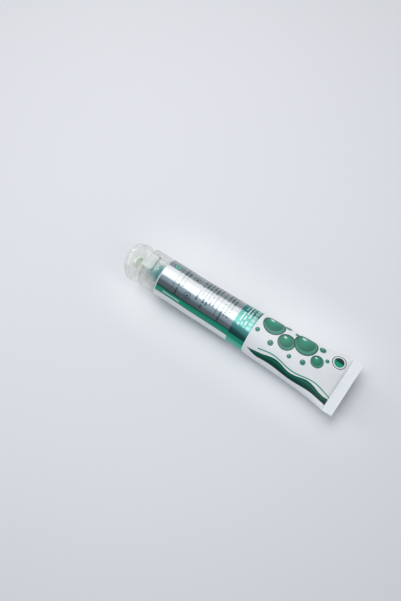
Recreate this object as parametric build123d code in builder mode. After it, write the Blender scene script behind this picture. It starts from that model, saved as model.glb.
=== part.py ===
from build123d import *
import os
from math import asin, cos, pi, sin, sqrt

os.makedirs("parts", exist_ok=True)

# Soft laminate tube with a clear flip-top cap, lying on its flattened underside.
# Millimetres. X runs along the tube (cap towards -X, crimp towards +X), Z is up,
# the origin is the middle of the underside of the bounding box.

# ---- driving dimensions ----
tube_r = 14.0           # round end of the sleeve and the cap
laminate_t = 0.4        # sleeve wall
sleeve_len = 151.0      # round edge to the end of the crimp
crimp_len = 7.25        # sealed strip
crimp_t = 0.9           # two walls fused
flat_width = pi * tube_r            # the sleeve pressed flat: half of its perimeter
edge_x = -60.52         # round edge of the sleeve
axis_z = 15.36          # axis of the round end: the cap sits 1.36 mm off the table
crimp_z = 10.0          # height of the sealed strip
patch_h = 0.2           # contact patch that the flattened underside lies on
patch_from, patch_to = -32.0, 44.0
patch_half = 4.3

cap_body_len = 14.2     # sleeve edge to deck
cap_wall = 1.2
deck_t = 1.2
part_gap = 0.12         # parting line between deck and closed lid
collar_r = 12.2         # low step on the deck that the lid closes over
collar_t = 0.9
collar_h = 0.8
socket_r_in = 6.0       # tube inside the cap that grips the neck
socket_r_out = 7.1
nozzle_h = 4.4
nozzle_r_root = 3.55
nozzle_r_tip = 3.1
orifice_r = 2.4
gel_dome = 0.45         # gel standing proud of the nozzle

recess_len = 6.9        # thumb recess in the top of the cap, open at the deck
recess_width = 11.6
recess_depth = 1.7
recess_corner_r = 1.8
recess_wall = 1.1

lid_h = 6.1             # lid, rim to closed end
lid_edge_r = 3.2
lid_wall = 1.1
lid_end_t = 1.0
lid_ajar_deg = 24.0     # how far the lid stands open at rest
seal_r_in = 3.5         # ring inside the lid, around the nozzle tip when closed
seal_r_out = 4.3
seal_h = 1.3

facet = 0.6             # flat on the underside of cap and lid, where the hinge lies
facet_len = 5.0
knuckle_r = 0.3
relief_r = 0.45
knuckle_half = 1.4      # middle knuckle, on the cap body
outer_knuckle = (1.55, 3.1)

neck_r = 5.5
neck_bore_r = 4.3
neck_end = 12.4         # from the sleeve edge
bead_r = 5.85

# sections of the filled sleeve: station along the body, half-width, height of the
# lowest point. Half-height follows from the perimeter, which the laminate keeps.
stations = [
    (0.000, 14.00, 1.36),
    (0.028, 14.00, 1.32),
    (0.100, 14.10, 0.45),
    (0.200, 14.42, -0.40),
    (0.300, 14.65, -0.58),
    (0.400, 14.98, -0.62),
    (0.500, 15.60, -0.62),
    (0.600, 16.28, -0.58),
    (0.700, 16.95, -0.32),
    (0.780, 17.65, 0.35),
    (0.850, 18.60, 1.35),
    (0.910, 19.70, 2.95),
    (0.955, 20.78, 5.05),
    (0.985, 21.58, 7.45),
    (1.000, flat_width / 2 - 0.02, crimp_z - crimp_t / 2),
]


def half_height(a):
    # ellipse of half-width a with the perimeter of the round sleeve
    goal, lo, hi = 2 * pi * tube_r, 0.0, tube_r
    for _ in range(60):
        b = (lo + hi) / 2
        if pi * (3 * (a + b) - sqrt((3 * a + b) * (a + 3 * b))) > goal:
            hi = b
        else:
            lo = b
    return max(b, crimp_t / 2)


body_len = sleeve_len - crimp_len
deck_x = edge_x - cap_body_len
facet_z = axis_z - tube_r + facet
hinge_x = deck_x - part_gap / 2
hinge_z = facet_z
points_round = 48
section_shares = [
    0.0, 0.028, 0.06, 0.10, 0.14, 0.18, 0.22, 0.26, 0.30, 0.35, 0.40, 0.45, 0.50, 0.55,
    0.60, 0.64, 0.68, 0.72, 0.76, 0.80, 0.835, 0.87, 0.90, 0.93, 0.955, 0.975, 0.99, 1.0,
]


def section_edge(a, b, mid):
    # closed section of the filled sleeve before it is pressed flat on its underside;
    # the same parameters on every section keep the skin fair
    points = []
    for k in range(points_round):
        turn = 2 * pi * k / points_round
        points.append((a * cos(turn), mid + b * sin(turn)))
    shares = [k / points_round for k in range(points_round + 1)]
    return Edge.make_spline(points, periodic=True, parameters=shares)


def across(x):
    # plane across the tube at x, its own x along +Y and its own y along +Z
    return Plane(origin=(x, 0, 0), x_dir=(0, 1, 0), z_dir=(1, 0, 0))


def slopes(xs, ys):
    # slopes of a monotone cubic through the points, so that it never overshoots
    steps = [(ys[i + 1] - ys[i]) / (xs[i + 1] - xs[i]) for i in range(len(xs) - 1)]
    out = [steps[0]]
    for i in range(1, len(xs) - 1):
        before, after = steps[i - 1], steps[i]
        if before * after <= 0:
            out.append(0.0)
        else:
            w1 = 2 * (xs[i + 1] - xs[i]) + (xs[i] - xs[i - 1])
            w2 = (xs[i + 1] - xs[i]) + 2 * (xs[i] - xs[i - 1])
            out.append((w1 + w2) / (w1 / before + w2 / after))
    out.append(steps[-1])
    return out


def smooth(xs, ys, x):
    m = slopes(xs, ys)
    i = max(j for j in range(len(xs) - 1) if xs[j] <= x + 1e-9)
    h = xs[i + 1] - xs[i]
    t = (x - xs[i]) / h
    return (
        (2 * t**3 - 3 * t**2 + 1) * ys[i]
        + (t**3 - 2 * t**2 + t) * h * m[i]
        + (3 * t**2 - 2 * t**3) * ys[i + 1]
        + (t**3 - t**2) * h * m[i + 1]
    )


def shrunk(inset, last):
    # sections up to share last, drawn in by inset all round
    shares = [row[0] for row in stations]
    widths = [row[1] for row in stations]
    lows = [row[2] for row in stations]
    out = []
    for s in section_shares:
        if s <= last:
            a = smooth(shares, widths, s)
            b = half_height(a)
            out.append(
                (edge_x + s * body_len, a - inset, b - inset, smooth(shares, lows, s) + b)
            )
    return out


cap_axis = Axis((0, 0, axis_z), (1, 0, 0))

# ---- space inside the sleeve ----
with BuildPart() as cavity:
    for x, a, b, mid in shrunk(laminate_t, 0.99):
        with BuildSketch(across(x)):
            with BuildLine():
                add(section_edge(a, b, mid))
            make_face()
    loft()
    with Locations((0, 0, patch_h + laminate_t - 5)):
        Box(400, 100, 10, mode=Mode.SUBTRACT)

# ---- sleeve: round at the shoulder, pressed flat and sealed at the far end ----
with BuildPart() as sleeve:
    for x, a, b, mid in shrunk(0, 1.0):
        with BuildSketch(across(x)):
            with BuildLine():
                add(section_edge(a, b, mid))
            make_face()
    loft()
    with Locations((0, 0, patch_h - 5)):
        Box(400, 100, 10, mode=Mode.SUBTRACT)
    with Locations(((patch_from + patch_to) / 2, 0, (patch_h + 0.1) / 2)):
        Box(patch_to - patch_from, 2 * patch_half, patch_h + 0.1)
    with BuildSketch(across(edge_x + body_len - 0.3)):
        with Locations((0, crimp_z)):
            Rectangle(flat_width, crimp_t)
    extrude(amount=crimp_len + 0.3)
    tips = sleeve.edges().filter_by(Axis.Z).group_by(Axis.X)[-1]
    fillet(tips, 0.8)
    add(cavity.part, mode=Mode.SUBTRACT)

sleeve.part.label = "sleeve"
export_step(sleeve.part, "parts/sleeve.step")

# ---- shoulder and neck, one moulding welded into the round end ----
with BuildPart() as shoulder:
    with BuildSketch(Plane.XZ):
        with BuildLine():
            Polyline(
                (edge_x + 3.0, axis_z + 12.5),
                (edge_x + 3.0, axis_z + 13.5),
                (edge_x - 0.1, axis_z + 13.5),
                (edge_x - 0.5, axis_z + 13.1),
                (edge_x - 3.9, axis_z + 6.0),
                (edge_x - 4.6, axis_z + neck_r),
                (edge_x - 9.2, axis_z + neck_r),
                (edge_x - 9.6, axis_z + bead_r),
                (edge_x - 10.1, axis_z + bead_r),
                (edge_x - 10.9, axis_z + neck_r),
                (edge_x - 12.1, axis_z + neck_r),
                (edge_x - neck_end, axis_z + neck_r - 0.3),
                (edge_x - neck_end, axis_z + neck_bore_r),
                (edge_x - 3.7, axis_z + neck_bore_r),
                (edge_x - 2.9, axis_z + 5.0),
                (edge_x + 0.5, axis_z + 12.2),
                close=True,
            )
        make_face()
    revolve(axis=cap_axis, revolution_arc=360)

shoulder.part.label = "shoulder"
export_step(shoulder.part, "parts/shoulder.step")

# ---- gel filling: sleeve, neck and nozzle ----
gel_r = orifice_r - 0.05
dome_r = (gel_r**2 + gel_dome**2) / (2 * gel_dome)
dome_half = asin(gel_r / dome_r)
with BuildPart() as paste_gel:
    for x, a, b, mid in shrunk(laminate_t + 0.08, 0.96)[1:]:
        with BuildSketch(across(x)):
            with BuildLine():
                add(section_edge(a, b, mid))
            make_face()
    loft()
    with Locations((0, 0, patch_h + laminate_t + 0.08 - 5)):
        Box(400, 100, 10, mode=Mode.SUBTRACT)
    with BuildSketch(Plane.XZ):
        with BuildLine():
            Polyline(
                (edge_x + 4.5, axis_z),
                (edge_x + 4.5, axis_z + 12.4),
                (edge_x + 3.0, axis_z + 12.4),
                (edge_x + 0.55, axis_z + 12.1),
                (edge_x - 2.85, axis_z + 4.95),
                (edge_x - 3.65, axis_z + neck_bore_r - 0.05),
                (edge_x - neck_end, axis_z + neck_bore_r - 0.05),
                (edge_x - neck_end, axis_z + gel_r),
                (deck_x - nozzle_h, axis_z + gel_r),
            )
            ThreePointArc(
                (deck_x - nozzle_h, axis_z + gel_r),
                (
                    deck_x - nozzle_h - gel_dome + dome_r * (1 - cos(dome_half / 2)),
                    axis_z + dome_r * sin(dome_half / 2),
                ),
                (deck_x - nozzle_h - gel_dome, axis_z),
            )
            Line((deck_x - nozzle_h - gel_dome, axis_z), (edge_x + 4.5, axis_z))
        make_face()
    revolve(axis=cap_axis, revolution_arc=360)

paste_gel.part.label = "paste_gel"
export_step(paste_gel.part, "parts/paste_gel.step")

# ---- cap body: skirt, deck, nozzle, socket, thumb recess, middle hinge knuckle ----
with BuildPart() as recess_pad:
    # wall that is left under the thumb recess
    with Locations(
        (
            deck_x + (recess_len + recess_wall) / 2,
            0,
            axis_z + tube_r - recess_depth - recess_wall + 5,
        )
    ):
        Box(recess_len + recess_wall, recess_width + 2 * recess_wall, 10)
    fillet(
        recess_pad.edges().filter_by(Axis.Z).group_by(Axis.X)[-1],
        recess_corner_r + recess_wall,
    )

with BuildPart() as cap_hollow:
    with BuildSketch(across(deck_x + deck_t)):
        with Locations((0, axis_z)):
            Circle(tube_r - cap_wall)
            Circle(socket_r_out, mode=Mode.SUBTRACT)
    extrude(amount=cap_body_len - deck_t + 1)
    add(recess_pad.part, mode=Mode.SUBTRACT)

with BuildPart() as cap_base:
    with BuildSketch(Plane.XZ):
        with BuildLine():
            Polyline(
                (edge_x - 0.12, axis_z + socket_r_in),
                (edge_x - 0.12, axis_z + tube_r),
                (deck_x + 0.45, axis_z + tube_r),
                (deck_x, axis_z + tube_r - 0.45),
                (deck_x, axis_z + collar_r),
                (deck_x - collar_h + 0.25, axis_z + collar_r),
                (deck_x - collar_h, axis_z + collar_r - 0.25),
                (deck_x - collar_h, axis_z + collar_r - collar_t),
                (deck_x, axis_z + collar_r - collar_t),
                (deck_x, axis_z + nozzle_r_root + 0.6),
                (deck_x - 0.6, axis_z + nozzle_r_root),
                (deck_x - nozzle_h + 0.25, axis_z + nozzle_r_tip),
                (deck_x - nozzle_h, axis_z + nozzle_r_tip - 0.25),
                (deck_x - nozzle_h, axis_z + orifice_r),
                (deck_x + deck_t, axis_z + orifice_r),
                (deck_x + deck_t, axis_z + socket_r_in),
                close=True,
            )
        make_face()
    revolve(axis=cap_axis, revolution_arc=360)
    add(cap_hollow.part, mode=Mode.SUBTRACT)
    # room for the shoulder cone inside the open end
    with BuildSketch(Plane.XZ):
        with BuildLine():
            Polyline(
                (edge_x + 0.5, axis_z + socket_r_in - 0.5),
                (edge_x + 0.5, axis_z + tube_r - cap_wall),
                (edge_x - 0.9, axis_z + tube_r - cap_wall),
                (edge_x - 5.0, axis_z + socket_r_out),
                (edge_x - 5.0, axis_z + socket_r_in - 0.5),
                close=True,
            )
        make_face()
    revolve(axis=cap_axis, revolution_arc=360, mode=Mode.SUBTRACT)
    # lead-in of the open end over the welded rim of the shoulder
    with BuildSketch(Plane.XZ):
        with BuildLine():
            Polyline(
                (edge_x + 0.2, axis_z + 12.0),
                (edge_x + 0.2, axis_z + 13.68),
                (edge_x - 0.25, axis_z + 13.68),
                (edge_x - 1.2, axis_z + tube_r - cap_wall - 0.02),
                (edge_x - 1.2, axis_z + 12.0),
                close=True,
            )
        make_face()
    revolve(axis=cap_axis, revolution_arc=360, mode=Mode.SUBTRACT)
    # thumb recess
    with BuildSketch(Plane.XY.offset(axis_z + tube_r - recess_depth)):
        with BuildLine():
            FilletPolyline(
                (deck_x - 1, -recess_width / 2),
                (deck_x + recess_len, -recess_width / 2),
                (deck_x + recess_len, recess_width / 2),
                (deck_x - 1, recess_width / 2),
                radius=recess_corner_r,
            )
            Line((deck_x - 1, recess_width / 2), (deck_x - 1, -recess_width / 2))
        make_face()
    extrude(amount=5, mode=Mode.SUBTRACT)
    # hinge facet and the relief groove along the hinge line
    with Locations((deck_x + facet_len / 2 - 0.5, 0, facet_z - 2)):
        Box(facet_len + 1, 20, 4, mode=Mode.SUBTRACT)
    with BuildSketch(Plane.XZ.offset(-5)):
        with Locations((hinge_x, hinge_z)):
            Circle(relief_r)
    extrude(amount=10, mode=Mode.SUBTRACT)
    # middle knuckle
    with BuildSketch(Plane.XZ.offset(-knuckle_half)):
        with Locations((hinge_x, hinge_z)):
            Circle(knuckle_r)
        with Locations((hinge_x + 0.45, hinge_z + knuckle_r / 2)):
            Rectangle(0.9, knuckle_r)
    extrude(amount=2 * knuckle_half)

cap_base.part.label = "cap_base"
export_step(cap_base.part, "parts/cap_base.step")

# ---- flip-top lid, modelled closed and then swung to its place at rest ----
lid_x = deck_x - part_gap
with BuildPart() as lid_closed:
    with BuildSketch(Plane.XZ):
        with BuildLine():
            Line((lid_x, axis_z + tube_r - lid_wall), (lid_x, axis_z + tube_r - 0.35))
            Line((lid_x, axis_z + tube_r - 0.35), (lid_x - 0.35, axis_z + tube_r))
            Line(
                (lid_x - 0.35, axis_z + tube_r),
                (lid_x - lid_h + lid_edge_r, axis_z + tube_r),
            )
            CenterArc(
                (lid_x - lid_h + lid_edge_r, axis_z + tube_r - lid_edge_r),
                lid_edge_r, 90, 90,
            )
            Line(
                (lid_x - lid_h, axis_z + tube_r - lid_edge_r),
                (lid_x - lid_h, axis_z),
            )
            Line((lid_x - lid_h, axis_z), (lid_x - lid_h + lid_end_t, axis_z))
            Polyline(
                (lid_x - lid_h + lid_end_t, axis_z),
                (lid_x - lid_h + lid_end_t, axis_z + seal_r_in),
                (lid_x - lid_h + lid_end_t + seal_h, axis_z + seal_r_in + 0.15),
                (lid_x - lid_h + lid_end_t + seal_h, axis_z + seal_r_out - 0.15),
                (lid_x - lid_h + lid_end_t, axis_z + seal_r_out),
                (lid_x - lid_h + lid_end_t, axis_z + tube_r - lid_wall - 2.1),
            )
            CenterArc(
                (lid_x - lid_h + lid_end_t + 2.1, axis_z + tube_r - lid_wall - 2.1),
                2.1, 90, 90,
            )
            Line(
                (lid_x - lid_h + lid_end_t + 2.1, axis_z + tube_r - lid_wall),
                (lid_x, axis_z + tube_r - lid_wall),
            )
        make_face()
    revolve(axis=cap_axis, revolution_arc=360)
    with Locations((lid_x - lid_h / 2, 0, facet_z - 2)):
        Box(lid_h + 2, 20, 4, mode=Mode.SUBTRACT)
    with BuildSketch(Plane.XZ.offset(-5)):
        with Locations((hinge_x, hinge_z)):
            Circle(relief_r)
    extrude(amount=10, mode=Mode.SUBTRACT)
    # two outer knuckles
    for side in (1, -1):
        y_from = outer_knuckle[0] if side > 0 else -outer_knuckle[1]
        with BuildSketch(Plane.XZ.offset(-y_from)):
            with Locations((hinge_x, hinge_z)):
                Circle(knuckle_r)
            with Locations((hinge_x - 0.45, hinge_z + knuckle_r / 2)):
                Rectangle(0.9, knuckle_r)
        extrude(amount=-(outer_knuckle[1] - outer_knuckle[0]))

hinge_axis = Axis((hinge_x, 0, hinge_z), (0, 1, 0))
with BuildPart() as cap_lid:
    add(lid_closed.part.rotate(hinge_axis, -lid_ajar_deg))

cap_lid.part.label = "cap_lid"
export_step(cap_lid.part, "parts/cap_lid.step")

for piece in (sleeve, shoulder, paste_gel, cap_base, cap_lid):
    box = piece.part.bounding_box()
    print(
        piece.part.label, len(piece.part.solids()), round(piece.part.volume, 1),
        [round(v, 2) for v in (box.min.X, box.min.Y, box.min.Z, box.max.X, box.max.Y, box.max.Z)],
    )
print("hinge", round(hinge_x, 3), round(hinge_z, 3))
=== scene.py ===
import bpy, bmesh, math
import numpy as np
from mathutils import Matrix, Vector, noise


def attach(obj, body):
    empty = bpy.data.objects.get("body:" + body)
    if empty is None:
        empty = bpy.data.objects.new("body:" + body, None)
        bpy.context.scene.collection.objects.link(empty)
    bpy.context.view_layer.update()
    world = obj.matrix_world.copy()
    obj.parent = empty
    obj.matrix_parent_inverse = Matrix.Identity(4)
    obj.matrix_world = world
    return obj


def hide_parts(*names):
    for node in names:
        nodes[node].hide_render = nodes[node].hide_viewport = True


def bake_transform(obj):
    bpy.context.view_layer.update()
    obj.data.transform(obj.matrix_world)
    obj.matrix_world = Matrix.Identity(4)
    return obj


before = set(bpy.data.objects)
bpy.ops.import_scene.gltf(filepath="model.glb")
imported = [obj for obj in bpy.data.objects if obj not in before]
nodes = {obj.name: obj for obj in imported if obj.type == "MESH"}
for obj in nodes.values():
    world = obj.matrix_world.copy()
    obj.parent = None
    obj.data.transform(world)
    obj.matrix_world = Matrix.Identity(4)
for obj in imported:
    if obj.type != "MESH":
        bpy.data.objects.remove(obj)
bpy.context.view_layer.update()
MM = 0.001
scene = bpy.context.scene

# =====================================================================
# the sleeve's form, as the CAD sleeve in model.glb has it (millimetres)
# =====================================================================
TUBE_R = 14.0
WALL = 0.4
SLEEVE_LEN = 151.0
CRIMP_LEN = 7.25
CRIMP_T = 0.9
FLAT_W = math.pi * TUBE_R
EDGE_X = -60.52
AXIS_Z = 15.36
CRIMP_Z = 10.0
BODY_LEN = SLEEVE_LEN - CRIMP_LEN
CRIMP_X = EDGE_X + BODY_LEN
END_X = EDGE_X + SLEEVE_LEN
PERIMETER = 2 * math.pi * TUBE_R
HINGE = (-74.78, 1.96)
DECK_X = EDGE_X - 14.2
LID_AJAR = math.radians(24.0)

STATIONS = [
    (0.000, 14.00, 1.36), (0.028, 14.00, 1.32), (0.100, 14.10, 0.45), (0.200, 14.42, -0.40),
    (0.300, 14.65, -0.58), (0.400, 14.98, -0.62), (0.500, 15.60, -0.62), (0.600, 16.28, -0.58),
    (0.700, 16.95, -0.32), (0.780, 17.65, 0.35), (0.850, 18.60, 1.35), (0.910, 19.70, 2.95),
    (0.955, 20.78, 5.05), (0.985, 21.58, 7.45), (1.000, FLAT_W / 2 - 0.02, CRIMP_Z - CRIMP_T / 2),
]


def half_height(a):
    lo, hi = 0.0, TUBE_R
    for _ in range(50):
        b = (lo + hi) / 2
        if math.pi * (3 * (a + b) - math.sqrt((3 * a + b) * (a + 3 * b))) > PERIMETER:
            hi = b
        else:
            lo = b
    return max(b, CRIMP_T / 2)


def slopes(xs, ys):
    st = [(ys[i + 1] - ys[i]) / (xs[i + 1] - xs[i]) for i in range(len(xs) - 1)]
    out = [st[0]]
    for i in range(1, len(xs) - 1):
        if st[i - 1] * st[i] <= 0:
            out.append(0.0)
        else:
            w1 = 2 * (xs[i + 1] - xs[i]) + (xs[i] - xs[i - 1])
            w2 = (xs[i + 1] - xs[i]) + 2 * (xs[i] - xs[i - 1])
            out.append((w1 + w2) / (w1 / st[i - 1] + w2 / st[i]))
    out.append(st[-1])
    return out


SH = [r[0] for r in STATIONS]
WD = [r[1] for r in STATIONS]
LW = [r[2] for r in STATIONS]
WD_M, LW_M = slopes(SH, WD), slopes(SH, LW)


def smooth(ys, m, s):
    s = min(max(s, 0.0), 1.0)
    i = max(j for j in range(len(SH) - 1) if SH[j] <= s + 1e-9)
    h = SH[i + 1] - SH[i]
    t = (s - SH[i]) / h
    return ((2 * t**3 - 3 * t**2 + 1) * ys[i] + (t**3 - 2 * t**2 + t) * h * m[i]
            + (3 * t**2 - 2 * t**3) * ys[i + 1] + (t**3 - t**2) * h * m[i + 1])


def smoothstep(a, b, x):
    t = np.clip((x - a) / (b - a), 0, 1)
    return t * t * (3 - 2 * t)


# =====================================================================
# node helpers
# =====================================================================
class Nodes:
    """Short names for building a shader: values may be sockets or numbers."""

    def __init__(self, name):
        self.mat = bpy.data.materials.new(name)
        self.mat.use_nodes = True
        self.nt = self.mat.node_tree
        self.nt.nodes.clear()
        self.out = self.nt.nodes.new("ShaderNodeOutputMaterial")

    def link(self, src, dst):
        if isinstance(src, bpy.types.NodeSocket):
            self.nt.links.new(src, dst)
        elif isinstance(src, (tuple, list)) and dst.type == "RGBA":
            dst.default_value = (*src[:3], 1.0)
        else:
            dst.default_value = src

    def m(self, op, a, b=0.0, c=None, clamp=False):
        n = self.nt.nodes.new("ShaderNodeMath")
        n.operation = op
        n.use_clamp = clamp
        self.link(a, n.inputs[0])
        self.link(b, n.inputs[1])
        if c is not None:
            self.link(c, n.inputs[2])
        return n.outputs[0]

    def add(self, a, b): return self.m("ADD", a, b)
    def sub(self, a, b): return self.m("SUBTRACT", a, b)
    def mul(self, a, b): return self.m("MULTIPLY", a, b)
    def mn(self, a, b): return self.m("MINIMUM", a, b)
    def mx(self, a, b): return self.m("MAXIMUM", a, b)

    def step(self, v, lo, hi, smooth_=True):
        """0 below lo, 1 above hi (lo may be the larger, which turns it round)"""
        n = self.nt.nodes.new("ShaderNodeMapRange")
        n.interpolation_type = "SMOOTHSTEP" if smooth_ else "LINEAR"
        n.clamp = True
        self.link(v, n.inputs["Value"])
        flip = lo > hi
        a, b = (hi, lo) if flip else (lo, hi)
        n.inputs["From Min"].default_value = a
        n.inputs["From Max"].default_value = b
        n.inputs["To Min"].default_value = 1.0 if flip else 0.0
        n.inputs["To Max"].default_value = 0.0 if flip else 1.0
        return n.outputs["Result"]

    def mix(self, f, a, b):
        n = self.nt.nodes.new("ShaderNodeMix")
        n.data_type = "RGBA"
        n.clamp_factor = True
        self.link(f, n.inputs["Factor"])
        ins = [i for i in n.inputs if i.type == "RGBA"]
        self.link(a, ins[0])
        self.link(b, ins[1])
        return [o for o in n.outputs if o.type == "RGBA"][0]

    def mixf(self, f, a, b):
        n = self.nt.nodes.new("ShaderNodeMix")
        n.data_type = "FLOAT"
        n.clamp_factor = True
        ins = [i for i in n.inputs if i.type == "VALUE"]
        self.link(f, ins[0])
        self.link(a, ins[1])
        self.link(b, ins[2])
        return [o for o in n.outputs if o.type == "VALUE"][0]

    def noise(self, vec, scale, detail=2.0, rough=0.5):
        n = self.nt.nodes.new("ShaderNodeTexNoise")
        self.link(vec, n.inputs["Vector"])
        n.inputs["Scale"].default_value = scale
        n.inputs["Detail"].default_value = detail
        n.inputs["Roughness"].default_value = rough
        return n.outputs["Fac"]

    def obj_coord(self):
        n = self.nt.nodes.new("ShaderNodeTexCoord")
        return n.outputs["Object"]

    def comb(self, x, y, z=0.0):
        n = self.nt.nodes.new("ShaderNodeCombineXYZ")
        for v, s in zip((x, y, z), n.inputs):
            self.link(v, s)
        return n.outputs[0]

    def white(self, vec):
        n = self.nt.nodes.new("ShaderNodeTexWhiteNoise")
        n.noise_dimensions = "3D"
        self.link(vec, n.inputs["Vector"])
        return n.outputs["Value"]

    def bump(self, height, strength, distance, normal=None):
        n = self.nt.nodes.new("ShaderNodeBump")
        n.inputs["Strength"].default_value = strength
        n.inputs["Distance"].default_value = distance
        self.link(height, n.inputs["Height"])
        if normal is not None:
            self.link(normal, n.inputs["Normal"])
        return n.outputs["Normal"]

    def principled(self, **kw):
        n = self.nt.nodes.new("ShaderNodeBsdfPrincipled")
        for k, v in kw.items():
            self.link(v, n.inputs[k.replace("_", " ")])
        self.nt.links.new(n.outputs[0], self.out.inputs["Surface"])
        return n


# =====================================================================
# print on the sleeve: X along the tube, S round it (mm), S = 0 on top,
# positive towards -Y
# =====================================================================
WHITE = (0.800, 0.825, 0.870)
GREEN_BAND = (0.004, 0.240, 0.150)
GREEN_SIDE = (0.045, 0.420, 0.320)
GREEN_DARK = (0.003, 0.040, 0.033)
GREEN_MID = (0.000, 0.062, 0.038)
GREEN_LIGHT = (0.004, 0.285, 0.170)
MINT = (0.060, 0.400, 0.275)


def make_laminate():
    g = Nodes("printed_laminate")
    uv = g.nt.nodes.new("ShaderNodeUVMap")
    uv.uv_map = "print"
    sep = g.nt.nodes.new("ShaderNodeSeparateXYZ")
    g.nt.links.new(uv.outputs[0], sep.inputs[0])
    X = g.m("MULTIPLY_ADD", sep.outputs[0], SLEEVE_LEN, EDGE_X)
    S = g.m("MULTIPLY_ADD", sep.outputs[1], PERIMETER, -PERIMETER / 2)
    P = g.comb(X, S)
    E = 0.10        # softness of a printed edge

    def band(v, lo, hi, e=E):
        return g.mul(g.step(v, lo - e, lo + e), g.step(v, hi + e, hi - e))

    def rect(x0, x1, s0, s1, e=E):
        return g.mul(band(X, x0, x1, e), band(S, s0, s1, e))

    def dist(cx, cs, vx=1.0, vs=1.0):
        dx = g.mul(g.sub(X, cx), 1.0 / vx)
        ds = g.mul(g.sub(S, cs), 1.0 / vs)
        return g.m("SQRT", g.add(g.mul(dx, dx), g.mul(ds, ds)))

    def disc(cx, cs, r, e=E):
        return g.step(dist(cx, cs), r + e, r - e)

    def ring(cx, cs, r, w, e=E):
        d = g.m("ABSOLUTE", g.sub(dist(cx, cs), r))
        return g.step(d, w / 2 + e, w / 2 - e)

    def over(a, b):      # union of two masks
        return g.mx(a, b)

    def lines(x0, x1, s0, s1, pitch, share, cell, seed, cut=0.22):
        """rows of short plain bars that run round the tube"""
        row = g.m("FLOOR", g.mul(g.sub(X, x0), 1.0 / pitch))
        ph = g.m("FRACT", g.mul(g.sub(X, x0), 1.0 / pitch))
        inrow = g.mul(g.step(ph, 0.5 - share / 2 - 0.06, 0.5 - share / 2 + 0.06),
                      g.step(ph, 0.5 + share / 2 + 0.06, 0.5 + share / 2 - 0.06))
        c = g.m("FLOOR", g.mul(S, 1.0 / cell))
        w = g.white(g.comb(row, c, seed))
        word = g.step(w, cut - 0.01, cut + 0.01)
        # each row ends at a length of its own
        length = g.white(g.comb(row, 7.0, seed + 3.0))
        end = g.sub(s1, g.mul(length, (s1 - s0) * 0.35))
        inside = g.mul(g.step(g.sub(end, S), -E, E), g.step(S, s0 - E, s0 + E))
        return g.mul(g.mul(inrow, word), g.mul(inside, band(X, x0, x1, 0.02)))

    # ---- colour ----
    col = WHITE
    col_noise = g.noise(P, 0.05, 3.0)
    white_v = g.mix(g.step(col_noise, 0.3, 0.7), (0.722, 0.742, 0.770), (0.742, 0.760, 0.786))
    col = white_v

    # the big bubbles on the white panel, one over the other
    bubbles = [
        (25.0, -10.0, 8.4), (38.5, -3.2, 6.4), (50.5, -10.2, 8.8), (63.0, -3.6, 4.7),
        (34.0, -16.2, 2.5), (17.2, 0.6, 1.7), (29.6, 3.8, 2.1), (45.2, 4.6, 1.6),
        (61.8, -14.6, 2.5), (55.2, 2.9, 2.0), (68.6, -8.4, 1.5), (41.5, -14.0, 1.5),
    ]
    for i, (cx, cs, r) in enumerate(bubbles):
        d = dist(cx, cs)
        lit = dist(cx - 0.30 * r, cs - 0.34 * r)         # light side of the bubble
        shade = g.step(lit, 1.25 * r, 0.05 * r, False)
        rim = g.step(d, 0.66 * r, 1.0 * r)
        c = g.mix(shade, GREEN_MID, GREEN_LIGHT)
        c = g.mix(g.mul(rim, 0.88), c, GREEN_DARK)
        # pale crescent inside the lower rim
        cres = g.mul(g.step(dist(cx - 0.10 * r, cs - 0.12 * r), 0.74 * r, 0.84 * r),
                     g.step(d, 0.93 * r, 0.86 * r))
        c = g.mix(g.mul(cres, 0.55), c, MINT)
        glint = g.step(dist(cx - 0.38 * r, cs - 0.42 * r, 1.0, 0.7), 0.24 * r, 0.10 * r)
        c = g.mix(g.mul(glint, 0.8), c, (0.75, 0.88, 0.84))
        col = g.mix(g.mul(disc(cx, cs, r, 0.12), 0.96), col, c)

    # wave ribbons along the near side of the white panel
    wave = g.m("SINE", g.mul(g.sub(X, 18.0), 2 * math.pi / 27.0))
    wave2 = g.m("SINE", g.mul(g.sub(X, 11.0), 2 * math.pi / 33.0))
    top1 = g.add(g.mul(wave, 1.25), 12.6)
    bot1 = g.add(g.mul(wave2, 0.55), 17.6)
    taper = g.step(X, 15.6, 27.0)
    mid_ = g.mul(g.add(top1, bot1), 0.5)
    top1 = g.add(mid_, g.mul(g.sub(top1, mid_), taper))
    bot1 = g.add(mid_, g.mul(g.sub(bot1, mid_), taper))
    in1 = g.mul(g.mul(g.step(g.sub(S, top1), -E, E), g.step(g.sub(bot1, S), -E, E)),
                band(X, 15.6, 82.6, 0.12))
    across = g.m("DIVIDE", g.sub(S, top1), g.mx(g.sub(bot1, top1), 0.2))
    ribbon = g.mix(g.step(across, 0.0, 1.0, False), GREEN_MID, GREEN_DARK)
    ribbon = g.mix(g.mul(g.step(g.m("ABSOLUTE", g.sub(across, 0.30)), 0.16, 0.02), 0.35), ribbon, GREEN_LIGHT)
    col = g.mix(in1, col, ribbon)
    top2 = g.add(g.mul(wave2, 1.15), 10.9)
    in2 = g.mul(g.step(g.m("ABSOLUTE", g.sub(S, top2)), 0.52, 0.34), band(X, 24.0, 82.6, 0.12))
    col = g.mix(in2, col, GREEN_LIGHT)

    # plain round mark: a ring round a disc of two tones
    bx, bs = 75.6, -13.2
    ring_m = ring(bx, bs, 4.9, 0.55)
    disc_m = disc(bx, bs, 3.7)
    two = g.mix(g.step(S, bs - 0.25, bs + 0.25), GREEN_DARK, GREEN_LIGHT)
    col = g.mix(disc_m, col, two)
    col = g.mix(ring_m, col, GREEN_DARK)

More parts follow.
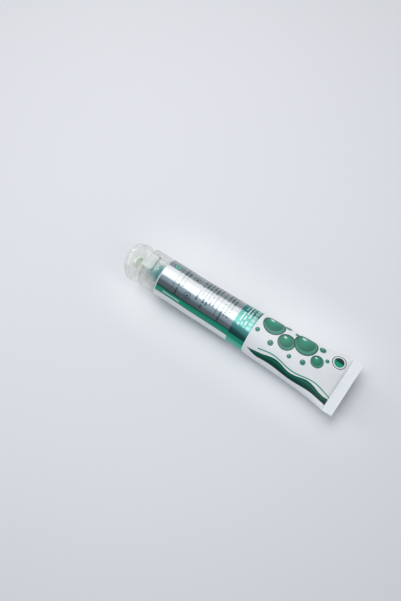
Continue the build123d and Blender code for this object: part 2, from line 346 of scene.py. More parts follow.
    # silver foil panel, green foil panel, bands
    far = -33.0
    silver = rect(-60.05, 0.60, far, 11.95)
    foil_g = rect(0.35, 13.9, far, 13.6)
    band_g = over(rect(-60.05, 0.60, 12.65, 17.3), rect(0.20, 13.9, 13.5, 17.3))
    dark_l = rect(-60.05, 0.35, 11.95, 12.75, 0.06)
    side_g = rect(0.35, 13.9, 17.2, 27.0)
    back_g = rect(-60.05, 0.35, 30.6, 33.4)
    streak = g.noise(g.comb(g.mul(X, 0.05), g.mul(S, 1.6)), 1.0, 2.0)
    silver_c = g.mix(g.step(streak, 0.25, 0.75), (0.395, 0.420, 0.440), (0.440, 0.465, 0.482))
    col = g.mix(silver, col, silver_c)
    green_c = g.mix(g.step(streak, 0.25, 0.75), (0.095, 0.320, 0.300), (0.125, 0.355, 0.330))
    # painted shade: the green foil is made darker towards its near lower edge and on its far side, standing in for the
    # dim surroundings it reflects there
    green_c = g.mix(g.mul(g.step(S, 6.0, 11.5), 0.7), green_c, (0.020, 0.120, 0.110))
    green_c = g.mix(g.mul(g.step(S, -4.5, -7.5), 0.55), green_c, (0.010, 0.215, 0.185))
    col = g.mix(foil_g, col, green_c)
    col = g.mix(band_g, col, GREEN_BAND)
    col = g.mix(side_g, col, GREEN_SIDE)
    col = g.mix(dark_l, col, GREEN_DARK)
    col = g.mix(back_g, col, GREEN_BAND)

    strip = g.step(X, CRIMP_X - 0.2, CRIMP_X + 0.6)
    col = g.mix(strip, col, (0.735, 0.760, 0.800))

    # small plain print
    t1 = lines(-46.8, -41.6, -17.5, 12.5, 2.6, 0.44, 1.25, 1.0)
    t2 = lines(-31.6, -16.0, -17.5, 12.5, 2.6, 0.46, 1.25, 2.0)
    t2b = lines(-11.6, -3.8, -17.5, 12.5, 2.6, 0.46, 1.25, 12.0)
    rule = over(rect(-14.2, -13.6, -18.0, 9.4, 0.05), rect(-49.2, -48.8, -18.0, 9.4, 0.05))
    marks = over(ring(-36.8, 7.4, 2.3, 0.55), disc(-36.8, 7.4, 1.05))
    marks = over(marks, over(ring(-36.8, -6.4, 2.5, 0.42), rect(-37.8, -35.8, -7.2, -5.6)))
    fine = over(over(over(t1, t2), t2b), over(rule, marks))
    # painted highlight: the small print is made paler in a band along the top, where the highlight washes it out
    highlight_fade = g.mul(g.step(S, -5.6, -4.0), g.step(S, 3.9, 2.5))
    col = g.mix(g.mul(fine, g.mixf(highlight_fade, 0.85, 0.28)), col, (0.085, 0.140, 0.135))
    spot = disc(-53.4, -7.4, 2.7)
    spot_in = ring(-53.4, -7.4, 1.45, 0.42)
    col = g.mix(spot, col, (0.006, 0.215, 0.150))
    col = g.mix(spot_in, col, (0.55, 0.74, 0.68))
    t3 = lines(2.6, 9.4, -16.5, 8.0, 2.25, 0.42, 1.15, 3.0)
    pitch = 3.4
    ds = g.mul(g.sub(g.m("FRACT", g.mul(g.add(S, 18.0), 1.0 / pitch)), 0.5), pitch)
    dd = g.m("SQRT", g.add(g.mul(ds, ds), g.m("POWER", g.sub(X, 11.4), 2.0)))
    bar = g.mul(g.mx(g.step(dd, 0.62, 0.48), g.step(g.m("ABSOLUTE", g.sub(dd, 1.15)), 0.24, 0.12)), band(S, -18.0, 5.8, 0.02))
    col = g.mix(g.mul(over(t3, bar), 0.85), col, (0.74, 0.85, 0.83))
    # pale bars on the green band, run the other way
    cell = g.m("FLOOR", g.mul(X, 1.0 / 1.15))
    keep = g.step(g.white(g.comb(cell, 4.0, 5.0)), 0.22, 0.24)
    phx = g.m("FRACT", g.mul(X, 1.0 / 1.15))
    t4 = g.mul(g.mul(rect(-54.0, -39.0, 14.4, 15.5, 0.05), keep),
               g.mul(g.step(phx, 0.10, 0.22), g.step(phx, 0.92, 0.80)))
    col = g.mix(g.mul(t4, 0.8), col, (0.72, 0.84, 0.80))

    # back of the sleeve: plain rows on white
    t5 = lines(22.0, 62.0, 31.0, 42.4, 2.1, 0.38, 0.95, 6.0)
    t6 = lines(18.0, 66.0, -42.0, -24.0, 2.1, 0.38, 0.95, 8.0)
    t7 = lines(-54.0, -8.0, -31.5, -20.5, 2.1, 0.38, 0.95, 9.0)
    back = over(over(t5, t6), t7)
    col = g.mix(g.mul(back, 0.75), col, (0.030, 0.130, 0.115))
    frame_b = g.sub(rect(68.0, 78.5, -40.0, -25.5), rect(68.7, 77.8, -39.3, -26.2))
    bars = g.mul(rect(69.6, 76.9, -38.2, -27.4),
                 g.step(g.white(g.comb(g.m("FLOOR", g.mul(S, 1.0 / 0.42)), 2.0, 11.0)), 0.50, 0.52))
    col = g.mix(over(frame_b, bars), col, (0.020, 0.060, 0.055))

    # ---- foil or plain laminate ----
    foil = over(silver, foil_g)
    foil = g.sub(foil, g.mul(foil, g.mul(over(t3, bar), 0.6)))
    foil = g.sub(foil, g.mul(foil, over(t7, spot)))
    # the green foil is a tinted lacquer over foil: a little of it is diffuse
    metal = g.mul(foil, g.mixf(foil_g, 0.97, 0.94))
    smudge = g.noise(P, 0.16, 4.0, 0.6)
    rough_w = g.m("MULTIPLY_ADD", smudge, 0.10, 0.27)
    rough_f = g.m("MULTIPLY_ADD", smudge, 0.07, 0.165)
    rough = g.mixf(foil, rough_w, rough_f)

    # ---- relief of the skin: faint drawing lines along the tube, printed edges, grain ----
    grain = g.noise(P, 3.0, 2.0)
    along = g.noise(g.comb(g.mul(X, 0.03), g.mul(S, 0.55)), 1.0, 2.0)
    h = g.add(g.mul(grain, 0.0035), g.mul(along, 0.030))
    h = g.add(h, g.mul(over(foil, band_g), 0.008))
    # pressed ribs of the heat seal
    ribs = g.mul(g.m("SINE", g.mul(S, 2 * math.pi / 1.25)), g.m("SINE", g.mul(X, 2 * math.pi / 1.7)))
    inset = g.mul(g.step(X, CRIMP_X + 0.5, CRIMP_X + 0.9), g.step(X, CRIMP_X + 6.6, CRIMP_X + 6.2))
    h = g.add(h, g.mul(g.mul(ribs, inset), 0.11))
    nrm = g.bump(h, 0.55, MM)
    b = g.principled(Base_Color=col, Metallic=metal, Roughness=rough, Normal=nrm)
    b.inputs["IOR"].default_value = 1.5
    b.inputs["Specular IOR Level"].default_value = 0.30
    b.inputs["Coat Weight"].default_value = 0.22
    b.inputs["Coat Roughness"].default_value = 0.10
    return g.mat


def make_laminate_inner():
    g = Nodes("laminate_inner")
    n = g.noise(g.obj_coord(), 900.0, 3.0)
    c = g.mix(g.step(n, 0.3, 0.7), (0.78, 0.80, 0.83), (0.84, 0.86, 0.88))
    r = g.m("MULTIPLY_ADD", n, 0.12, 0.34)
    b = g.principled(Base_Color=c, Roughness=r, Normal=g.bump(n, 0.2, 0.05 * MM))
    b.inputs["IOR"].default_value = 1.5
    return g.mat


def make_clear(name, tint_a, tint_b, rough0, haze, dense, satin=False):
    """clear moulded plastic: faint flow lines, a denser look and painted shade (a darker colour) where it is seen edge
    on
    """
    g = Nodes(name)
    co = g.obj_coord()
    n = g.noise(co, 260.0, 3.0)
    flow = g.noise(co, 90.0, 1.0)
    c = g.mix(g.step(flow, 0.3, 0.7), tint_a, tint_b)
    lw = g.nt.nodes.new("ShaderNodeLayerWeight")
    lw.inputs["Blend"].default_value = 0.42
    edge = g.step(lw.outputs["Facing"], 0.25, 0.95)
    # painted shade: the colour darkens where the surface is seen edge on, standing in for the dark outlines that
    # refraction gives
    c = g.mix(edge, c, (0.570, 0.620, 0.590))
    r = g.m("MULTIPLY_ADD", n, 0.05, rough0)
    body = g.m("MULTIPLY_ADD", edge, 0.34, dense)
    if satin:
        # thumb recess: satin floor, and painted shade: dark lines painted on its walls, its rim, the deck chamfer and
        # the floor's edge
        sep = g.nt.nodes.new("ShaderNodeSeparateXYZ")
        g.link(co, sep.inputs[0])
        x, y, z = (g.mul(v, 1000.0) for v in sep.outputs)
        floor_z = AXIS_Z + TUBE_R - 1.7
        in_plan = g.mul(g.mul(g.step(x, DECK_X - 0.35, DECK_X - 0.15), g.step(x, DECK_X + 7.10, DECK_X + 7.00)),
                        g.step(g.m("ABSOLUTE", y), 5.98, 5.90))
        pan = g.mul(in_plan, g.step(g.m("ABSOLUTE", g.sub(z, floor_z)), 0.10, 0.05))
        wall = g.mul(in_plan, g.step(z, floor_z + 0.05, floor_z + 0.15))
        # its rounded rim, at the end and along both sides, which gets a painted dark line
        ay = g.m("ABSOLUTE", y)
        dx, dy = g.mx(g.sub(x, DECK_X + 5.1), 0.0), g.mx(g.sub(ay, 4.0), 0.0)
        out = g.sub(g.m("SQRT", g.add(g.mul(dx, dx), g.mul(dy, dy))), 1.8)
        lip = g.mul(g.mul(g.step(out, -0.02, 0.10), g.step(out, 0.95, 0.75)), g.step(z, floor_z + 0.2, floor_z + 0.4))
        lip = g.mul(lip, g.mixf(g.step(dx, 0.4, 1.6), 0.65, 1.0))
        # small chamfer round the deck, which gets a painted dark line
        rad = g.m("SQRT", g.add(g.mul(y, y), g.mul(g.sub(z, AXIS_Z), g.sub(z, AXIS_Z))))
        rim = g.mul(g.step(rad, 13.45, 13.55), g.mul(g.step(x, DECK_X + 0.95, DECK_X + 0.70), g.step(x, DECK_X - 0.3, DECK_X - 0.1)))
        # the recess floor's own edge at the deck, which gets a painted dark line
        brow = g.mul(pan, g.step(x, DECK_X + 0.60, DECK_X + 0.35))
        # the skirt sits close over the shoulder there and is seen through more clearly
        clear_end = g.step(x, DECK_X + 7.2, DECK_X + 12.0)
        c = g.mix(pan, c, (0.935, 0.975, 0.965))
        # painted shade: a dark line on the floor's edge at the deck
        c = g.mix(g.mul(brow, 0.7), c, (0.200, 0.260, 0.245))
        body = g.mul(body, g.m("MULTIPLY_ADD", clear_end, -0.60, 1.0))
        # painted shade: dark lines on the recess walls, its rim and the deck chamfer
        c = g.mix(g.mx(g.mul(wall, 0.8), g.mx(lip, g.mul(rim, 0.8))), c, (0.060, 0.100, 0.095))
        body = g.mixf(g.mx(g.mul(pan, 0.28), g.mx(wall, g.mx(lip, g.mul(rim, 0.8)))), body, 0.94)
        r = g.mixf(g.mul(pan, 0.8), r, 0.34)
        haze = g.mixf(pan, haze, 0.84)
    b = g.principled(Base_Color=c, Roughness=r, Normal=g.bump(flow, 0.12, 0.25 * MM))
    b.inputs["IOR"].default_value = 1.47
    b.inputs["Coat Weight"].default_value = 0.6
    b.inputs["Coat Roughness"].default_value = 0.04
    g.link(haze, b.inputs["Transmission Weight"])
    # light passes through the clear wall instead of stopping at it
    lp = g.nt.nodes.new("ShaderNodeLightPath")
    through = g.m("MULTIPLY_ADD", lp.outputs["Is Shadow Ray"], -0.93, 1.0)
    g.link(g.mul(body, through), b.inputs["Alpha"])
    return g.mat


def make_shoulder():
    g = Nodes("shoulder_plastic")
    co = g.obj_coord()
    n = g.noise(co, 700.0, 3.0)
    c = g.mix(g.step(n, 0.3, 0.7), (0.000, 0.165, 0.178), (0.001, 0.200, 0.208))
    r = g.m("MULTIPLY_ADD", n, 0.12, 0.26)
    b = g.principled(Base_Color=c, Roughness=r, Normal=g.bump(n, 0.25, 0.04 * MM))
    b.inputs["IOR"].default_value = 1.5
    return g.mat


def make_gel():
    g = Nodes("gel")
    co = g.obj_coord()
    n = g.noise(co, 420.0, 3.0)
    c = g.mix(g.step(n, 0.3, 0.7), (0.690, 0.780, 0.690), (0.740, 0.815, 0.735))
    r = g.m("MULTIPLY_ADD", n, 0.08, 0.10)
    b = g.principled(Base_Color=c, Roughness=r, Normal=g.bump(n, 0.35, 0.12 * MM))
    b.inputs["IOR"].default_value = 1.4
    # part of the light goes on through the gel
    lp = g.nt.nodes.new("ShaderNodeLightPath")
    g.link(g.m("MULTIPLY_ADD", lp.outputs["Is Shadow Ray"], -0.65, 1.0), b.inputs["Alpha"])
    b.inputs["Transmission Weight"].default_value = 0.25
    b.inputs["Subsurface Weight"].default_value = 0.6
    b.inputs["Subsurface Radius"].default_value = (1.0, 1.0, 0.7)
    b.inputs["Subsurface Scale"].default_value = 0.0022
    return g.mat


laminate = make_laminate()
laminate_inner = make_laminate_inner()
clear_base = make_clear("clear_cap", (0.972, 0.975, 0.935), (0.985, 0.986, 0.955), 0.02, 0.87, 0.38, True)
clear_lid = make_clear("clear_lid", (0.972, 0.972, 0.925), (0.985, 0.984, 0.945), 0.02, 0.85, 0.37)
shoulder_mat = make_shoulder()
gel_mat = make_gel()


def wear(obj, mat):
    obj.data.materials.clear()
    obj.data.materials.append(mat)


# =====================================================================
# the CAD nodes that stay: cap, lid, shoulder, filling
# =====================================================================
for name, mat in (("cap_base", clear_base), ("cap_lid", clear_lid), ("shoulder", shoulder_mat), ("paste_gel", gel_mat)):
    wear(nodes[name], mat)


# =====================================================================
# sleeve: printed skin, rolled lip at the round end, sealed strip
# =====================================================================
def build_sleeve():
    N = 240                      # points round
    xs = list(np.arange(EDGE_X, EDGE_X + 1.2, 0.3))
    xs += list(np.arange(EDGE_X + 1.2, CRIMP_X - 22, 0.9))
    xs += list(np.arange(CRIMP_X - 22, CRIMP_X - 3, 0.5))
    xs += list(np.arange(CRIMP_X - 3, CRIMP_X + 0.9, 0.18))
    xs += list(np.arange(CRIMP_X + 0.9, END_X - 0.85, 0.14))
    xs += [END_X - 0.8 + 0.8 * math.sin(math.radians(a)) for a in (0, 18, 36, 54, 70, 82, 90)]
    xs = sorted(set(round(x, 4) for x in xs))
    # share of the turn: 0 at the underside, going up the +Y side, over the top, down the -Y side
    k = np.arange(N + 1) / N
    t = -math.pi / 2 + 2 * math.pi * k
    rows_y, rows_z, rows_s = [], [], []
    for x in xs:
        s = (x - EDGE_X) / BODY_LEN
        a = smooth(WD, WD_M, s)
        b = half_height(a)
        mid = smooth(LW, LW_M, s) + b
        y = a * np.cos(t)
        z = mid + b * np.sin(t)
        z = (z + np.sqrt(z * z + 0.12**2)) / 2
        if s > 0.985:
            # run into the flat strip: a slab with rounded sides
            w = float(smoothstep(0.985, 1.0, s)) if s < 1.0 else 1.0
            e = 0.30
            wide = FLAT_W / 2
            if x > END_X - 0.8:
                wide -= 0.8 - math.sqrt(max(0.0, 0.64 - (x - (END_X - 0.8)) ** 2))
            cy, sy = np.cos(t), np.sin(t)
            ys_ = wide * np.sign(cy) * np.abs(cy) ** 0.92
            zs_ = CRIMP_Z + CRIMP_T / 2 * np.sign(sy) * np.abs(sy) ** e
            y = (1 - w) * y + w * ys_
            z = (1 - w) * z + w * zs_
        seg = np.hypot(np.diff(y), np.diff(z))
        d = np.r_[0, np.cumsum(seg)]
        s_mm = d / d[-1] * PERIMETER - PERIMETER / 2      # -half .. +half, 0 on top
        rows_y.append(y); rows_z.append(z); rows_s.append(s_mm)
    Y, Z, SS = np.array(rows_y), np.array(rows_z), np.array(rows_s)
    XX = np.repeat(np.array(xs)[:, None], N + 1, 1)
    # outward normals of the sections
    ty, tz = np.gradient(Y, axis=1), np.gradient(Z, axis=1)
    ln = np.hypot(ty, tz) + 1e-9
    ny, nz = tz / ln, -ty / ln
    top = N // 2
    if nz[5, top] < 0:
        ny, nz = -ny, -nz

    def gauss(cx, cs, lx, ls, ang=0.0):
        c, s_ = math.cos(ang), math.sin(ang)
        dx, ds = XX - cx, SS - cs
        u, v = dx * c + ds * s_, -dx * s_ + ds * c
        return np.exp(-(u / lx) ** 2 - (v / ls) ** 2)

    near_end = 1 - smoothstep(0.0, 26.0, CRIMP_X - XX)       # 1 at the strip
    near_end = near_end * (1 - smoothstep(CRIMP_X - 1.2, CRIMP_X + 0.2, XX))
    D = np.zeros_like(XX)
    # tension folds that fan out from the sealed strip
    D += 0.10 * near_end * np.sin(SS * 2 * math.pi / 9.7 + 0.6) * (0.6 + 0.4 * np.sin(SS * 0.21 + XX * 0.07))
    D += 0.07 * near_end * np.sin(SS * 2 * math.pi / 5.3 + XX * 0.10 + 2.1) * near_end
    # a few soft dents where the tube was held
    for cx, cs, lx, ls, ang, amp in (
        (71.5, 3.5, 9.0, 2.4, 0.55, -0.34), (66.0, -14.0, 8.0, 2.6, -0.45, -0.26),
        (76.5, -4.0, 5.0, 1.6, -0.70, 0.16), (78.0, 13.0, 5.0, 1.8, 0.40, -0.16),
        (40.0, 16.0, 13.0, 3.6, 0.08, -0.16), (-8.0, -15.0, 16.0, 4.2, -0.06, -0.12),
        (-34.0, 14.0, 12.0, 3.2, 0.05, -0.08), (52.0, -20.0, 10.0, 3.4, 0.20, -0.20),
        (60.0, 36.0, 9.0, 3.0, 0.30, -0.20), (64.0, -36.0, 8.0, 3.0, -0.30, -0.20),
        (20.0, -38.0, 14.0, 3.5, 0.10, -0.10),
    ):
        D += amp * gauss(cx, cs, lx, ls, ang)
    # slow unevenness of the filled skin, away from the round end and the strip
    slow = np.array([[noise.noise(Vector((x_ * 0.045, s_ * 0.055, 3.7))) for s_ in row_s[::6]]
                     for x_, row_s in zip(xs, SS)])
    kk = np.arange(0, N + 1, 6)
    slow = np.array([np.interp(np.arange(N + 1), kk, r) for r in slow])
    # closes on itself round the underside
    ease = smoothstep(0, 10, PERIMETER / 2 - np.abs(SS))
    free = smoothstep(2.0, 16.0, XX - EDGE_X) * (1 - smoothstep(CRIMP_X - 5.0, CRIMP_X - 0.5, XX))
    D += 0.16 * slow * ease * free
    # the round end sits tight on the shoulder and steps out a little behind it
    D += 0.05 * smoothstep(3.6, 6.5, XX - EDGE_X) * (1 - smoothstep(10.0, 26.0, XX - EDGE_X))
    # groove where the strip begins
    D += -0.16 * np.exp(-((XX - (CRIMP_X - 0.25)) / 0.55) ** 2) * np.clip((PERIMETER / 2 - np.abs(np.abs(SS) - PERIMETER / 4) * 0) / 10, 0, 1)
    # overlap seam along the underside: one edge of the laminate lies on the other
    over_ = smoothstep(PERIMETER / 2 - 3.4, PERIMETER / 2 - 3.15, SS) * free
    # ribs of the sealing jaws, across the strip
    on_strip = smoothstep(CRIMP_X + 0.7, CRIMP_X + 1.1, XX) * (1 - smoothstep(END_X - 1.3, END_X - 0.9, XX))
    rib = 0.045 * on_strip * (0.5 + 0.5 * np.cos((XX - CRIMP_X - 1.0) * 2 * math.pi / 0.86))
    side_fade = smoothstep(0.4, 2.4, FLAT_W / 2 - np.abs(Y))
    D += (rib - 0.045 * on_strip) * side_fade
    Y2 = Y + ny * D
    Z2 = Z + nz * D
    Z2 = Z2 + 0.10 * over_ * (Z2 > 0.15)
    Z2 = np.maximum(Z2, 0.004)

    me = bpy.data.meshes.new("sleeve_skin")
    bm = bmesh.new()
    uvl = bm.loops.layers.uv.new("print")
    grid = [[bm.verts.new((XX[i, j] * MM, Y2[i, j] * MM, Z2[i, j] * MM)) for j in range(N)] for i in range(len(xs))]

    def uv(i, j):
        return ((XX[i, 0] - EDGE_X) / SLEEVE_LEN, (SS[i, j] + PERIMETER / 2) / PERIMETER)

    for i in range(len(xs) - 1):
        for j in range(N):
            j2 = (j + 1) % N
            f = bm.faces.new((grid[i][j], grid[i + 1][j], grid[i + 1][j2], grid[i][j2]))
            f.smooth = True
            for loop, (a_, b_) in zip(f.loops, ((i, j), (i + 1, j), (i + 1, j + 1), (i, j + 1))):
                loop[uvl].uv = uv(a_, b_)
    # rolled lip and inner wall at the round end
    prev = grid[0]
    c = Vector((0, AXIS_Z))
    for r, x in ((13.97, -0.03), (13.90, -0.07), (13.80, -0.085), (13.70, -0.07), (13.63, -0.02),
                 (13.60, 0.10), (13.60, 0.8), (13.60, 3.2), (13.60, 6.0)):
        ring_ = []
        for j in range(N):
            ang = t[j]
            ring_.append(bm.verts.new(((EDGE_X + x) * MM, r * math.cos(ang) * MM, (AXIS_Z + r * math.sin(ang)) * MM)))
        for j in range(N):
            j2 = (j + 1) % N
            f = bm.faces.new((prev[j], prev[j2], ring_[j2], ring_[j]))
            f.smooth = True
            f.material_index = 1 if x > 0.05 else 0
            for loop in f.loops:
                loop[uvl].uv = (0.0, (SS[0, j] + PERIMETER / 2) / PERIMETER)
        prev = ring_
    # end face of the strip: the two walls, with the fine line between them
    last = grid[-1]
    half = N // 2
    mid_row = []
    for j in range(N):
        v = last[j].co
        mid_row.append(bm.verts.new((v.x, v.y * 0.9995, CRIMP_Z * MM + (v.z - CRIMP_Z * MM) * 0.10)))
    inner_row = []
    for j in range(N):
        v = last[j].co
        inner_row.append(bm.verts.new((v.x - 0.10 * MM, v.y * 0.999, CRIMP_Z * MM + (v.z - CRIMP_Z * MM) * 0.02)))
    for a_row, b_row in ((last, mid_row), (mid_row, inner_row)):
        for j in range(N):
            j2 = (j + 1) % N
            f = bm.faces.new((a_row[j], b_row[j], b_row[j2], a_row[j2]))
            f.material_index = 1
            for loop in f.loops:
                loop[uvl].uv = (1.0, 0.5)
    # close the fine line: near rim vertices of upper and lower wall
    for j in range(1, half):
        a_, b_ = inner_row[j], inner_row[(j + 1) % N]
        c_, d_ = inner_row[(N - j - 1) % N], inner_row[(N - j) % N]
        if len({a_, b_, c_, d_}) == 4:
            try:
                f = bm.faces.new((a_, b_, c_, d_))
                f.material_index = 1
            except ValueError:
                pass
    bmesh.ops.recalc_face_normals(bm, faces=bm.faces)
    bm.to_mesh(me)
    bm.free()
    ob = bpy.data.objects.new("sleeve_printed", me)
    scene.collection.objects.link(ob)
    me.materials.append(laminate)
    me.materials.append(laminate_inner)
    return ob


sleeve = build_sleeve()
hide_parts("sleeve")
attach(sleeve, "tube")


# =====================================================================
# gel left on the inside of the lid, round its seal ring
# =====================================================================
def build_lid_gel():
    """gel left in the lid: a film inside the seal ring and a soft collar on its end, hollow so
    that the nozzle fits into it; built as the lid is closed, then swung with it"""
    lid_x, floor_x = DECK_X - 0.12, DECK_X - 0.12 - 6.1 + 1.0
    n = 72
    # height above the lid's floor and radius: over the film, up the inside, round the collar, back down
    prof = [(0.26, 1.2), (0.27, 2.0), (0.34, 2.35), (0.54, 2.62), (0.64, 2.95), (0.69, 3.18), (0.85, 3.33),
            (1.20, 3.38), (1.45, 3.45), (1.80, 3.52), (2.20, 3.57), (2.60, 3.62), (2.84, 3.70), (2.92, 3.80),
            (2.84, 3.92), (2.60, 4.00), (2.20, 4.06), (1.80, 4.09), (1.55, 4.08), (1.42, 4.00), (1.36, 3.88),
            (1.345, 3.66), (1.30, 3.50), (1.20, 3.455), (0.70, 3.440), (0.20, 3.425), (0.08, 3.36), (0.03, 3.20),
            (0.03, 2.2), (0.03, 1.2)]
    bm = bmesh.new()
    hx, hz = HINGE
    ca, sa = math.cos(-LID_AJAR), math.sin(-LID_AJAR)

    def place(x, y, z):
        # turn about +Y through the hinge by -LID_AJAR
        dx, dz = x - hx, z - hz
        return (hx + dx * ca + dz * sa, y, hz - dx * sa + dz * ca)

    rows = []
    for h, r in prof:
        free = smoothstep(1.5, 2.6, h)          # the free end of the collar is uneven
        row = []
        for j in range(n):
            a = 2 * math.pi * j / n
            wob = 1 + 0.012 * free * noise.noise(Vector((math.cos(a) * 1.3, math.sin(a) * 1.3, 9.0)))
            wob_h = h - 0.20 * free * (0.5 + 0.5 * noise.noise(Vector((math.cos(a) * 1.4, math.sin(a) * 1.4, 4.0))))
            # least gel on the hinge side
            low = smoothstep(0.15, 0.85, -math.sin(a))
            wob_h -= 0.72 * low * max(0.0, wob_h - 1.36)
            y, z = r * wob * math.cos(a), AXIS_Z + r * wob * math.sin(a)
            row.append(bm.verts.new(tuple(v * MM for v in place(floor_x + wob_h, y, z))))
        rows.append(row)
    for a_, b_ in zip(rows, rows[1:]):
        for j in range(n):
            j2 = (j + 1) % n
            bm.faces.new((a_[j], a_[j2], b_[j2], b_[j])).smooth = True
    for row, h in ((rows[0], 0.26), (rows[-1], 0.03)):
        pole = bm.verts.new(tuple(v * MM for v in place(floor_x + h, 0.0, AXIS_Z)))
        for j in range(n):
            bm.faces.new((row[j], row[(j + 1) % n], pole)).smooth = True
    bmesh.ops.recalc_face_normals(bm, faces=bm.faces)
    me = bpy.data.meshes.new("lid_gel")
    bm.to_mesh(me)
    bm.free()
    ob = bpy.data.objects.new("lid_gel", me)
    scene.collection.objects.link(ob)
    wear(ob, gel_mat)
    return ob


lid_gel = build_lid_gel()
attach(lid_gel, "lid")


# =====================================================================
# film hinge under the cap: a thin web, built bent, between the two bodies
# =====================================================================
def build_strap():
    hx, hz = HINGE
    half_w, thick = 3.9, 0.26
    cl = []
    # centre line in the X-Z plane: on the cap's flat, round below the pin line, on the lid's flat
    for x in np.linspace(1.9, 0.62, 6):
        cl.append((x, -0.02, 0.0))
    for a in np.linspace(0, 1, 9)[1:-1]:
        cl.append((0.62 - 1.24 * a, -0.02 - 0.26 * math.sin(math.pi * a), 0.5))
    for x in np.linspace(-0.62, -1.9, 6):
        cl.append((x, -0.02, 1.0))
    bm = bmesh.new()
    ys = np.linspace(-half_w, half_w, 25)
    outer, inner = [], []
    for i, (dx, dz, _) in enumerate(cl):
        w = float(smoothstep(0.62, -0.62, np.array(dx)))  # 0 on the cap, 1 on the lid
        w = 1.0 - float(smoothstep(-0.62, 0.62, np.array(dx)))
        ang = -LID_AJAR * w
        ca, sa = math.cos(ang), math.sin(ang)
        px, pz = hx + dx * ca + dz * sa, hz - dx * sa + dz * ca
        qx, qz = hx + dx * ca + (dz - thick) * sa, hz - dx * sa + (dz - thick) * ca
        ro, ri = [], []
        for y in ys:
            taper = 1.0 - 0.35 * max(0.0, (abs(y) - half_w + 0.5) / 0.5)
            ri.append(bm.verts.new((px * MM, y * MM, pz * MM)))
            ro.append(bm.verts.new(((px + (qx - px) * taper) * MM, y * MM, (pz + (qz - pz) * taper) * MM)))
        inner.append(ri)
        outer.append(ro)
    n, m = len(cl), len(ys)
    for i in range(n - 1):
        for j in range(m - 1):
            bm.faces.new((inner[i][j], inner[i][j + 1], inner[i + 1][j + 1], inner[i + 1][j])).smooth = True
            bm.faces.new((outer[i][j], outer[i + 1][j], outer[i + 1][j + 1], outer[i][j + 1])).smooth = True
        for j in (0, m - 1):
            bm.faces.new((inner[i][j], inner[i + 1][j], outer[i + 1][j], outer[i][j]))
    for i in (0, n - 1):
        for j in range(m - 1):
            bm.faces.new((inner[i][j], outer[i][j], outer[i][j + 1], inner[i][j + 1]))
    bmesh.ops.recalc_face_normals(bm, faces=bm.faces)
    me = bpy.data.meshes.new("hinge_film")
    bm.to_mesh(me)
    bm.free()
    ob = bpy.data.objects.new("hinge_film", me)
    scene.collection.objects.link(ob)
    wear(ob, clear_base)
    return ob


strap = build_strap()
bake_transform(strap)


# =====================================================================
# shading of the CAD nodes: smooth on every face
# =====================================================================
for name in ("cap_base", "cap_lid", "shoulder", "paste_gel"):
    me = nodes[name].data
    me.polygons.foreach_set("use_smooth", [True] * len(me.polygons))

# =====================================================================
# floor, light, camera
# =====================================================================
def build_floor():
    me = bpy.data.meshes.new("floor")
    s = 6.0
    me.from_pydata([(-s, -s, 0), (s, -s, 0), (s, s, 0), (-s, s, 0)], [], [(0, 1, 2, 3)])
    ob = bpy.data.objects.new("floor", me)
    scene.collection.objects.link(ob)
    g = Nodes("floor")
    n = g.noise(g.obj_coord(), 3.0, 2.0)
    c = g.mix(g.step(n, 0.3, 0.7), (0.690, 0.698, 0.730), (0.700, 0.708, 0.739))
    # painted shade: the floor's colour darkens away from the tube and towards +X and +Y, standing in for the light's
    # falloff
    sep = g.nt.nodes.new("ShaderNodeSeparateXYZ")
    g.link(g.obj_coord(), sep.inputs[0])
    x, y = sep.outputs[0], sep.outputs[1]
    r2 = g.mn(g.add(g.mul(x, x), g.mul(y, y)), 0.18)
    lim = lambda v: g.mn(g.mx(v, -0.4), 0.4)
    fall = g.add(g.mul(r2, 1.35), g.add(g.mul(lim(x), 0.18), g.mul(lim(y), 0.12)))
    c = g.mix(fall, c, (0.0, 0.0, 0.0))
    # painted light: paler strips beside the tube, along both of its sides, standing in for light thrown back from the
    # tube onto the floor
    ends = g.mul(g.step(x, -0.125, -0.045), g.step(x, 0.135, 0.045))
    front = g.mul(g.step(y, -0.009, -0.019), g.step(y, -0.052, -0.016))
    rear = g.mul(g.step(y, 0.008, 0.020), g.step(y, 0.066, 0.018))
    c = g.mix(g.mul(ends, g.add(g.mul(front, 0.68), g.mul(rear, 0.62))), c, (0.890, 0.900, 0.920))
    b = g.principled(Base_Color=c, Roughness=0.85)
    b.inputs["IOR"].default_value = 1.3
    wear(ob, g.mat)
    return ob


build_floor()


def area(name, at, to, size_x, size_y, power, colour=(1, 1, 1), roll=0.0):
    li = bpy.data.lights.new(name, "AREA")
    li.shape = "RECTANGLE"
    li.size, li.size_y = size_x, size_y
    li.energy = power
    li.color = colour
    ob = bpy.data.objects.new(name, li)
    scene.collection.objects.link(ob)
    d = Vector(to) - Vector(at)
    ob.location = at
    ob.rotation_mode = "QUATERNION"
    ob.rotation_quaternion = d.to_track_quat("-Z", "Y")
    return ob


def panel(name, x0, x1, y0, y1, z, radiance, colour):
    """a softbox that faces straight down"""
    sx, sy = x1 - x0, y1 - y0
    at = ((x0 + x1) / 2, (y0 + y1) / 2, z)
    return area(name, at, (at[0], at[1], 0.0), sx, sy, radiance * math.pi * sx * sy, colour)


panel("key", -0.59, 0.075, -0.160, 0.412, 0.75, 2.12, (1.0, 0.957, 0.935))
panel("key_far", -0.59, 0.075, 0.412, 1.10, 0.75, 1.50, (1.0, 0.957, 0.935))


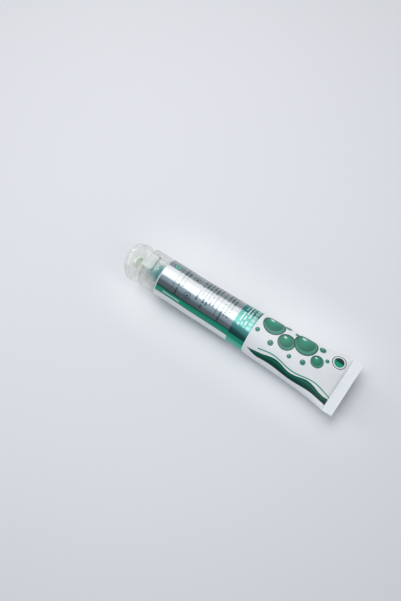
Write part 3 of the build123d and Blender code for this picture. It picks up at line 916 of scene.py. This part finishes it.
def build_world():
    """soft room light: even on the far side, dim low down on the near side, bright past the ends"""
    w = bpy.data.worlds.new("studio")
    scene.world = w
    w.use_nodes = True
    nt = w.node_tree
    bg = nt.nodes["Background"]

    def link(src, dst):
        if isinstance(src, bpy.types.NodeSocket):
            nt.links.new(src, dst)
        else:
            dst.default_value = src

    def m(op, x, y=0.0):
        n = nt.nodes.new("ShaderNodeMath")
        n.operation = op
        link(x, n.inputs[0])
        link(y, n.inputs[1])
        return n.outputs[0]

    def step(v, lo, hi, to0=0.0, to1=1.0):
        n = nt.nodes.new("ShaderNodeMapRange")
        n.interpolation_type = "SMOOTHSTEP"
        link(v, n.inputs["Value"])
        n.inputs["From Min"].default_value = lo
        n.inputs["From Max"].default_value = hi
        n.inputs["To Min"].default_value = to0
        n.inputs["To Max"].default_value = to1
        return n.outputs["Result"]

    tc = nt.nodes.new("ShaderNodeTexCoord")
    sep = nt.nodes.new("ShaderNodeSeparateXYZ")
    nt.links.new(tc.outputs["Generated"], sep.inputs[0])
    x, y, z = sep.outputs
    # towards -Y: dark low down, one soft step up at about 50 degrees; towards +Y: even
    near = m("ADD", step(z, 0.15, 0.42, 0.05, 0.20), step(z, 0.66, 0.86, 0.0, 0.46))
    far = step(z, 0.30, 0.60, 0.60, 0.45)
    is_far = step(y, -0.08, 0.22)
    centre = m("ADD", m("MULTIPLY", near, m("SUBTRACT", 1.0, is_far)), m("MULTIPLY", far, is_far))
    # wide fill past both ends of the tube, brighter at the cap
    cap_end = step(x, -0.42, -0.62)
    far_end = step(x, 0.14, 0.44)
    ends = m("MAXIMUM", cap_end, far_end)
    fill = m("ADD", m("MULTIPLY", cap_end, 1.15), m("MULTIPLY", far_end, m("SUBTRACT", 0.90, m("MULTIPLY", is_far, 0.45))))
    total = m("ADD", m("MULTIPLY", centre, m("SUBTRACT", 1.0, ends)), fill)
    nt.links.new(total, bg.inputs["Strength"])
    tint = nt.nodes.new("ShaderNodeMix")
    tint.data_type = "RGBA"
    ins = [i for i in tint.inputs if i.type == "RGBA"]
    link(is_far, tint.inputs["Factor"])
    ins[0].default_value = (0.76, 0.98, 1.12, 1.0)
    ins[1].default_value = (0.87, 1.0, 1.06, 1.0)
    side = nt.nodes.new("ShaderNodeMix")
    side.data_type = "RGBA"
    ins2 = [i for i in side.inputs if i.type == "RGBA"]
    link(ends, side.inputs["Factor"])
    nt.links.new([o for o in tint.outputs if o.type == "RGBA"][0], ins2[0])
    ins2[1].default_value = (1.0, 0.985, 0.985, 1.0)
    nt.links.new([o for o in side.outputs if o.type == "RGBA"][0], bg.inputs["Color"])


build_world()

cam_data = bpy.data.cameras.new("camera")
cam_data.sensor_width = 36.0
cam_data.lens = 1150.0 * 36.0 / 601.0
cam_data.clip_start, cam_data.clip_end = 0.01, 50.0
cam = bpy.data.objects.new("camera", cam_data)
scene.collection.objects.link(cam)
c_at = Vector((0.15108457, -0.27385419, 0.75400124))
c_fwd = Vector((-0.22340732, 0.33732417, -0.91449526)).normalized()
c_right = c_fwd.cross(Vector((0, 0, 1))).normalized()
c_up = c_right.cross(c_fwd)
cam.matrix_world = Matrix((
    (c_right.x, c_up.x, -c_fwd.x, c_at.x),
    (c_right.y, c_up.y, -c_fwd.y, c_at.y),
    (c_right.z, c_up.z, -c_fwd.z, c_at.z),
    (0, 0, 0, 1),
))
scene.camera = cam
scene.view_settings.view_transform = "Standard"
